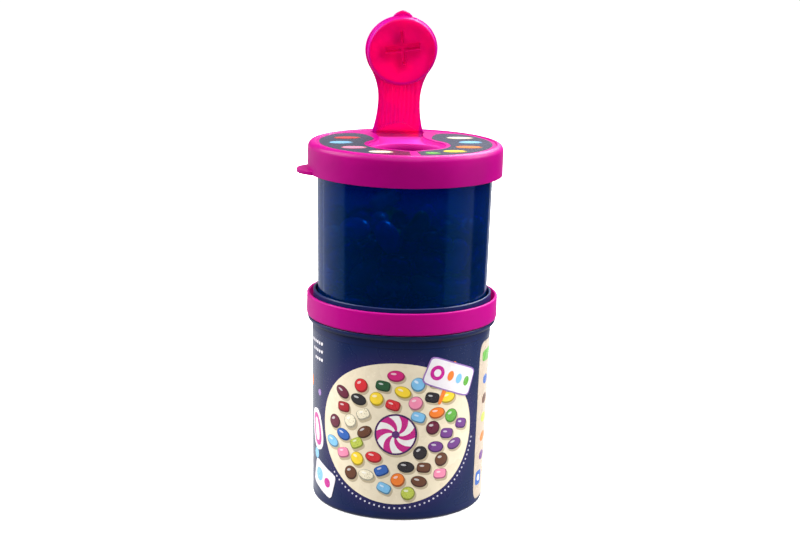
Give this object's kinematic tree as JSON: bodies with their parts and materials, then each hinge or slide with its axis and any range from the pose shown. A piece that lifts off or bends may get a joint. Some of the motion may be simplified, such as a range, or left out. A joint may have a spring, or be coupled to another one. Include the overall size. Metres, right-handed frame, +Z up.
{
  "type": "jar of jelly beans",
  "caption": "Stacked sweet dispenser: opaque printed cup with a collar band, translucent cup of jelly beans in its rim, snap lid with a pour hole and a flip tab standing open.",
  "frame": {"origin": "centre of the flat base that the jar stands on", "axes": "+Z up along the cups' axis; the lid's keyhole recess runs along Y, flip tab's hinge at +Y, pour hole and label front towards -Y; the lid's lift tab points to -X"},
  "size_m": [0.0983, 0.093, 0.2354],
  "materials": {
    "navy_plastic": "satin navy polypropylene with a printed in-mould label",
    "magenta_plastic": "satin magenta polypropylene, slightly translucent",
    "blue_clear_plastic": "glossy translucent deep blue polypropylene",
    "jelly_bean_shell": "polished sugar shells in many colours",
    "flip_tab_plastic": "thin translucent magenta polypropylene that glows hot pink with light behind it"
  },
  "bodies": {
    "jar": {"lower_cup": "navy_plastic", "collar_band": "magenta_plastic", "upper_cup": "blue_clear_plastic", "jelly_beans": "jelly_bean_shell", "lid": "magenta_plastic"},
    "tab": {"flip_tab": "flip_tab_plastic"}
  },
  "joints": [
    {"name": "tab_hinge", "type": "hinge", "parent": "jar", "child": "tab", "pos_m": [0, 0.0358, 0.17495], "axis": [1, 0, 0], "range_deg": [-95, 78.5]}
  ]
}
